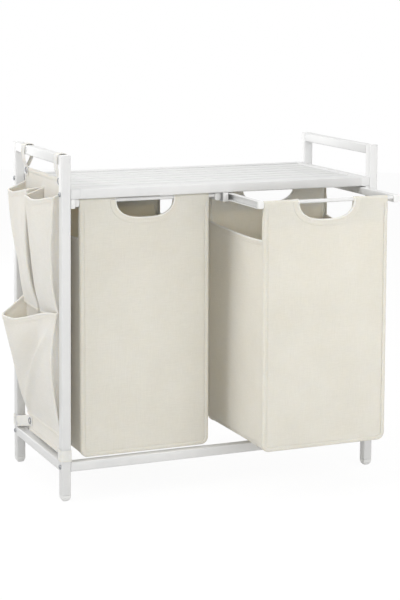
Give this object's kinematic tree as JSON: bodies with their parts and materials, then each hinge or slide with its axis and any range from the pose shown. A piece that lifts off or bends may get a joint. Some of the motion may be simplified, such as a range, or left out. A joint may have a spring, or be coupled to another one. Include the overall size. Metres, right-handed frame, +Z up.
{
  "type": "laundry hamper",
  "caption": "Laundry hamper: a steel tube frame with end handles and a slatted shelf, two cloth bins that slide out on hangers, and a hanging pocket organiser at one end.",
  "frame": {"origin": "on the floor, under the middle of the outer box as it stands, with the left bin closed and the right bin pulled out", "axes": "+X to the right along the front, +Y from the front to the back, +Z up"},
  "size_m": [0.7824, 0.4776, 0.7216],
  "materials": {
    "steel": "satin powder coat",
    "plastic": "moulded, satin",
    "zinc": "zinc plated",
    "canvas": "woven, matte"
  },
  "bodies": {
    "frame": {"leg_front_left": "steel", "leg_back_left": "steel", "leg_front_right": "steel", "leg_back_right": "steel", "foot_front_left": "plastic", "foot_back_left": "plastic", "foot_front_right": "plastic", "foot_back_right": "plastic", "bolt_low_front_left": "zinc", "bolt_shelf_front_left": "zinc", "bolt_low_back_left": "zinc", "bolt_shelf_back_left": "zinc", "bolt_low_front_right": "zinc", "bolt_shelf_front_right": "zinc", "bolt_low_back_right": "zinc", "bolt_shelf_back_right": "zinc", "handle_left": "steel", "handle_right": "steel", "low_rail_left": "steel", "low_rail_right": "steel", "low_rail_front": "steel", "low_rail_back": "steel", "shelf": "steel", "runner_left": "steel", "runner_centre": "steel", "runner_right": "steel", "guide_side_left": "plastic", "guide_side_right": "plastic", "guide_centre_left": "plastic", "guide_centre_right": "plastic", "organiser_panel": "canvas", "pocket_upper_back": "canvas", "pocket_upper_front": "canvas", "pocket_lower": "canvas", "strap_top_back": "canvas", "strap_top_front": "canvas", "strap_low_back": "canvas", "strap_low_front": "canvas"},
    "left_bin": {"left_bar_left": "steel", "left_bar_right": "steel", "left_rod_front": "steel", "left_rod_back": "steel", "left_cap_left": "plastic", "left_cap_right": "plastic", "left_slider_left": "plastic", "left_slider_right": "plastic", "left_bag": "canvas"},
    "right_bin": {"right_bar_left": "steel", "right_bar_right": "steel", "right_rod_front": "steel", "right_rod_back": "steel", "right_cap_left": "plastic", "right_cap_right": "plastic", "right_slider_left": "plastic", "right_slider_right": "plastic", "right_bag": "canvas"}
  },
  "joints": [
    {"name": "left_bin_slide", "type": "slide", "parent": "frame", "child": "left_bin", "axis": [0, -1, 0], "range_m": [0, 0.234]},
    {"name": "right_bin_slide", "type": "slide", "parent": "frame", "child": "right_bin", "axis": [0, -1, 0], "range_m": [-0.158, 0.076]}
  ]
}
